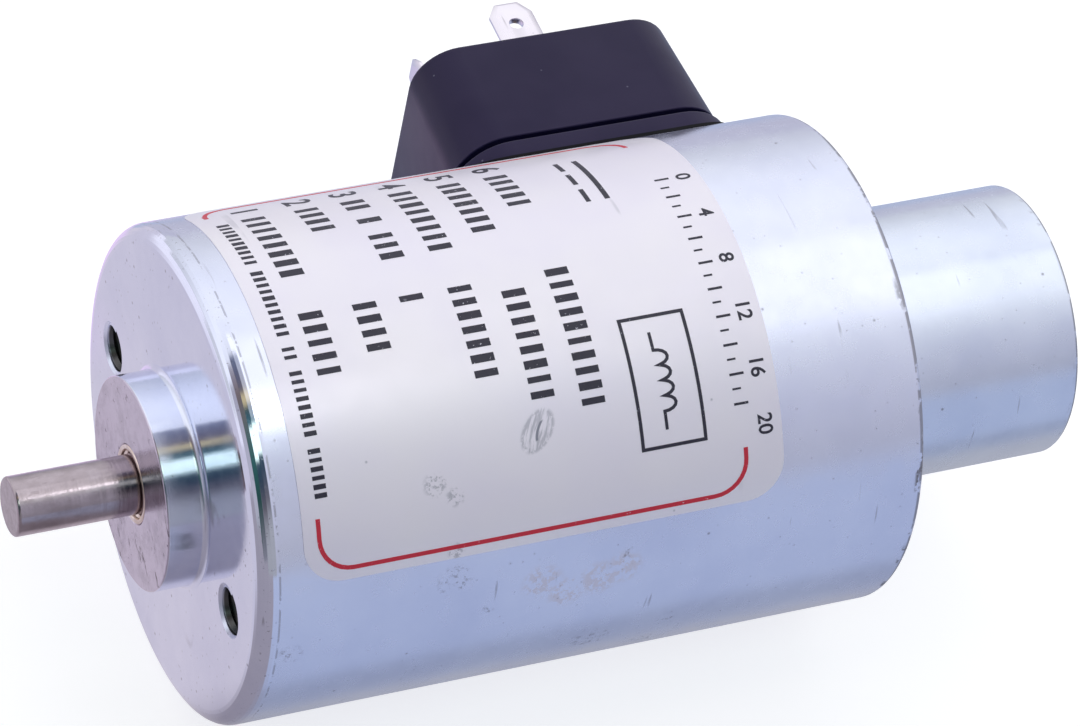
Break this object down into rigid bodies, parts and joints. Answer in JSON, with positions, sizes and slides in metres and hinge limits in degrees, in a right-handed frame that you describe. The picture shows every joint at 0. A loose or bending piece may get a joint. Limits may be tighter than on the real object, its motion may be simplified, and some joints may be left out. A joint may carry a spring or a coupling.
{
  "type": "push pull solenoid",
  "caption": "Tubular push pull solenoid: steel can, locating boss with tapped holes, push rod, pull plunger and a moulded plug base with blade terminals.",
  "frame": {"origin": "on the axis, in the flat front mounting face round the boss", "axes": "+X along the axis, the way the rod pushes; -Y towards the plug base; +Z across both"},
  "size_m": [0.1093, 0.0732, 0.0501],
  "materials": {
    "housing_can": "bright zinc plating on drawn steel",
    "pole_core": "bright zinc plating on turned steel",
    "front_bush": "sintered bronze",
    "anti_stick_washer": "plain brass",
    "guide_tube": "drawn brass",
    "coil_bobbin": "moulded glass filled nylon",
    "coil_winding": "enamelled copper wire",
    "winding_tape": "polyester tape",
    "coil_cushion": "nitrile rubber",
    "rear_plate": "bright zinc plating on turned steel",
    "rear_bush": "sintered bronze",
    "rear_stop_washer": "nitrile rubber",
    "rear_seal_ring": "nitrile rubber",
    "lead_wire_1": "insulated wire",
    "lead_wire_2": "insulated wire",
    "wire_grommet": "soft rubber",
    "base_seal": "nitrile rubber",
    "plug_base": "moulded nylon, fine satin",
    "plug_screw_insert": "turned brass",
    "terminal_1": "tinned brass",
    "terminal_2": "tinned brass",
    "earth_tab": "tinned brass",
    "base_screw_front": "zinc plated screw",
    "base_screw_rear": "zinc plated screw",
    "label_foil": "printed polyester foil",
    "plunger": "bright zinc plating on turned steel",
    "slide_ring": "filled polymer slide ring",
    "push_rod": "ground stainless steel",
    "cross_pin": "spring steel"
  },
  "bodies": {
    "housing": {"housing_can": "housing_can", "pole_core": "pole_core", "front_bush": "front_bush", "anti_stick_washer": "anti_stick_washer", "guide_tube": "guide_tube", "coil_bobbin": "coil_bobbin", "coil_winding": "coil_winding", "winding_tape": "winding_tape", "coil_cushion": "coil_cushion", "rear_plate": "rear_plate", "rear_bush": "rear_bush", "rear_stop_washer": "rear_stop_washer", "rear_seal_ring": "rear_seal_ring", "lead_wire_1": "lead_wire_1", "lead_wire_2": "lead_wire_2", "wire_grommet": "wire_grommet", "base_seal": "base_seal", "plug_base": "plug_base", "plug_screw_insert": "plug_screw_insert", "terminal_1": "terminal_1", "terminal_2": "terminal_2", "earth_tab": "earth_tab", "base_screw_front": "base_screw_front", "base_screw_rear": "base_screw_rear", "label_foil": "label_foil"},
    "armature": {"plunger": "plunger", "slide_ring": "slide_ring", "push_rod": "push_rod", "cross_pin": "cross_pin"}
  },
  "joints": [
    {"name": "plunger_slide", "type": "slide", "parent": "housing", "child": "armature", "axis": [1, 0, 0], "range_m": [0, 0.02]}
  ]
}
